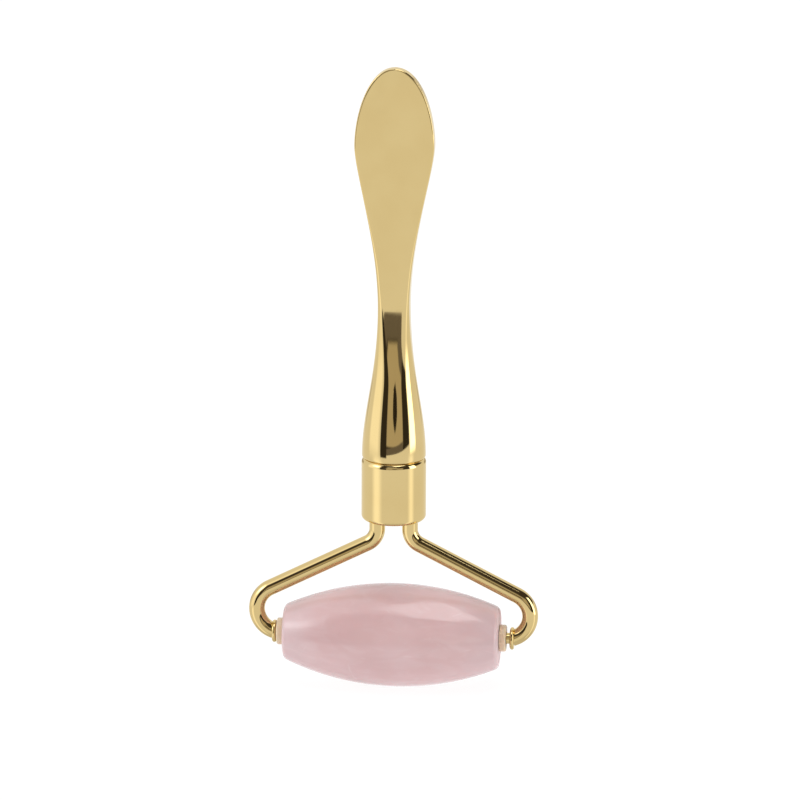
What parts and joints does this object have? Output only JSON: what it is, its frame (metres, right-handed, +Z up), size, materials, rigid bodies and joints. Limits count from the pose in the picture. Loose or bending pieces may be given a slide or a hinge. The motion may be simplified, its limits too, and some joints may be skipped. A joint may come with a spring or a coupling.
{
  "type": "face roller",
  "caption": "Small face roller: a flat spatula handle and collar, a wire fork, and a barrel-shaped stone that spins on flanged bushes with end play.",
  "frame": {"origin": "under the handle's axis, at the height of the stone's lowest point", "axes": "+Z up the handle to its tip, +X along the roller's axis, +Y through the spatula's thickness, towards its back"},
  "size_m": [0.055, 0.0196, 0.12],
  "materials": {
    "gold_plated_zinc": "die-cast zinc, mirror polished and plated pale gold",
    "gold_plated_wire": "steel wire, mirror polished and plated pale gold",
    "bare_steel": "bright zinc-plated screw steel",
    "bare_zinc": "zinc alloy as cast, satin grey",
    "natural_nylon": "natural nylon, slightly translucent beige, satin",
    "rose_quartz": "polished rose quartz, cloudy pink, slightly translucent"
  },
  "bodies": {
    "frame": {"handle": "gold_plated_zinc", "joining_stud": "bare_steel", "collar": "gold_plated_zinc", "slotted_core": "bare_zinc", "fork_arm_left": "gold_plated_wire", "fork_arm_right": "gold_plated_wire", "thrust_ring_left": "gold_plated_wire", "thrust_ring_right": "gold_plated_wire"},
    "bushes": {"bush_left": "natural_nylon", "bush_right": "natural_nylon"},
    "stone": {"roller_stone": "rose_quartz"}
  },
  "joints": [
    {"name": "roller_float", "type": "slide", "parent": "frame", "child": "bushes", "axis": [1, 0, 0], "range_m": [0, 0.00065]},
    {"name": "roller_spin", "type": "hinge", "parent": "bushes", "child": "stone", "pos_m": [0, 0, 0.0098], "axis": [1, 0, 0], "continuous": true}
  ]
}
